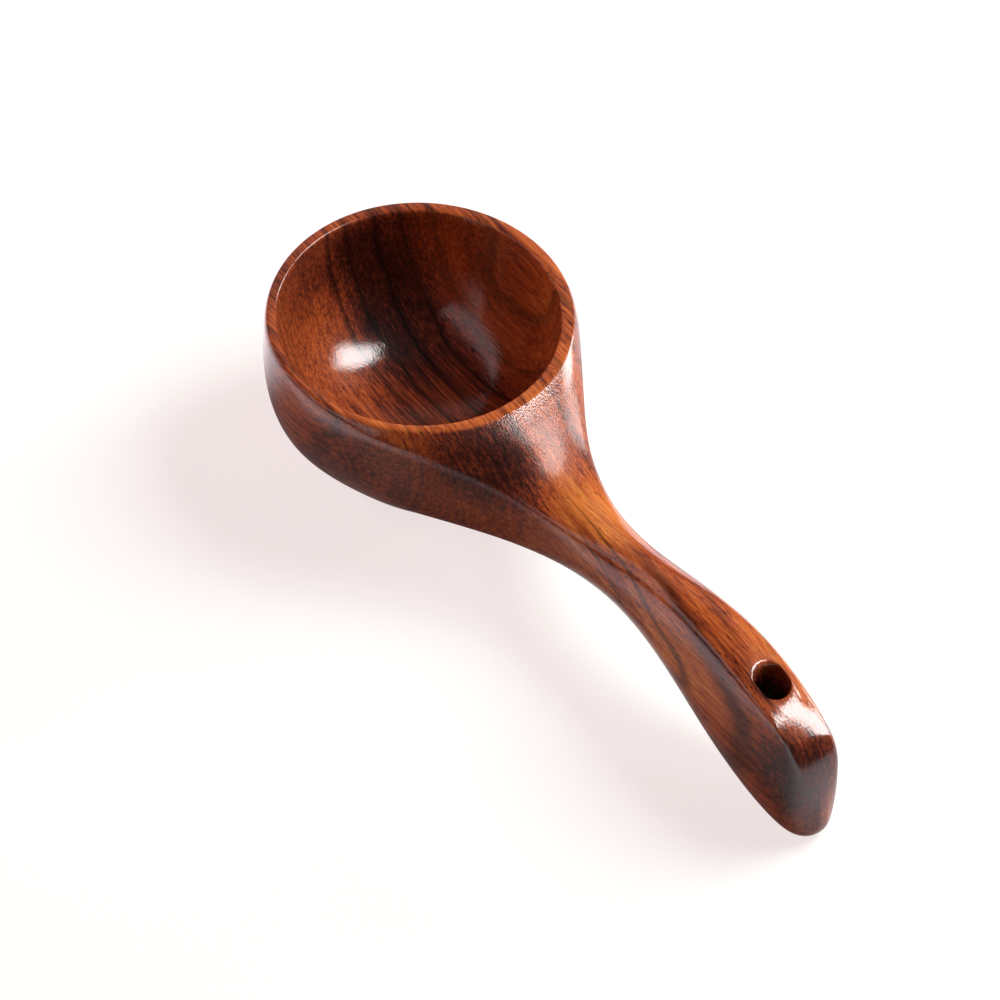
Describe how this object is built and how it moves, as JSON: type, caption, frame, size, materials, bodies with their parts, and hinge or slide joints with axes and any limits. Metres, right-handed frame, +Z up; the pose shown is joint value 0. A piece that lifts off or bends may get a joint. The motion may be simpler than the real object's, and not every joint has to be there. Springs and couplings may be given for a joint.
{
  "type": "wooden ladle",
  "caption": "One-piece carved hardwood ladle: round flat-footed bowl, shoulder sinking into a narrow neck, arched tapering handle with a hanging hole.",
  "frame": {"origin": "middle of the bounding box's base, on the table the ladle stands on", "axes": "+X along the handle from the bowl towards the handle's tip, +Z up out of the bowl's mouth, +Y to the left when looking along the handle from the bowl"},
  "size_m": [0.22, 0.0863, 0.05],
  "materials": {
    "varnished_hardwood": "dark red-brown hardwood, sanded smooth, clear glossy varnish"
  },
  "bodies": {
    "root": {"ladle": "varnished_hardwood"}
  },
  "joints": []
}
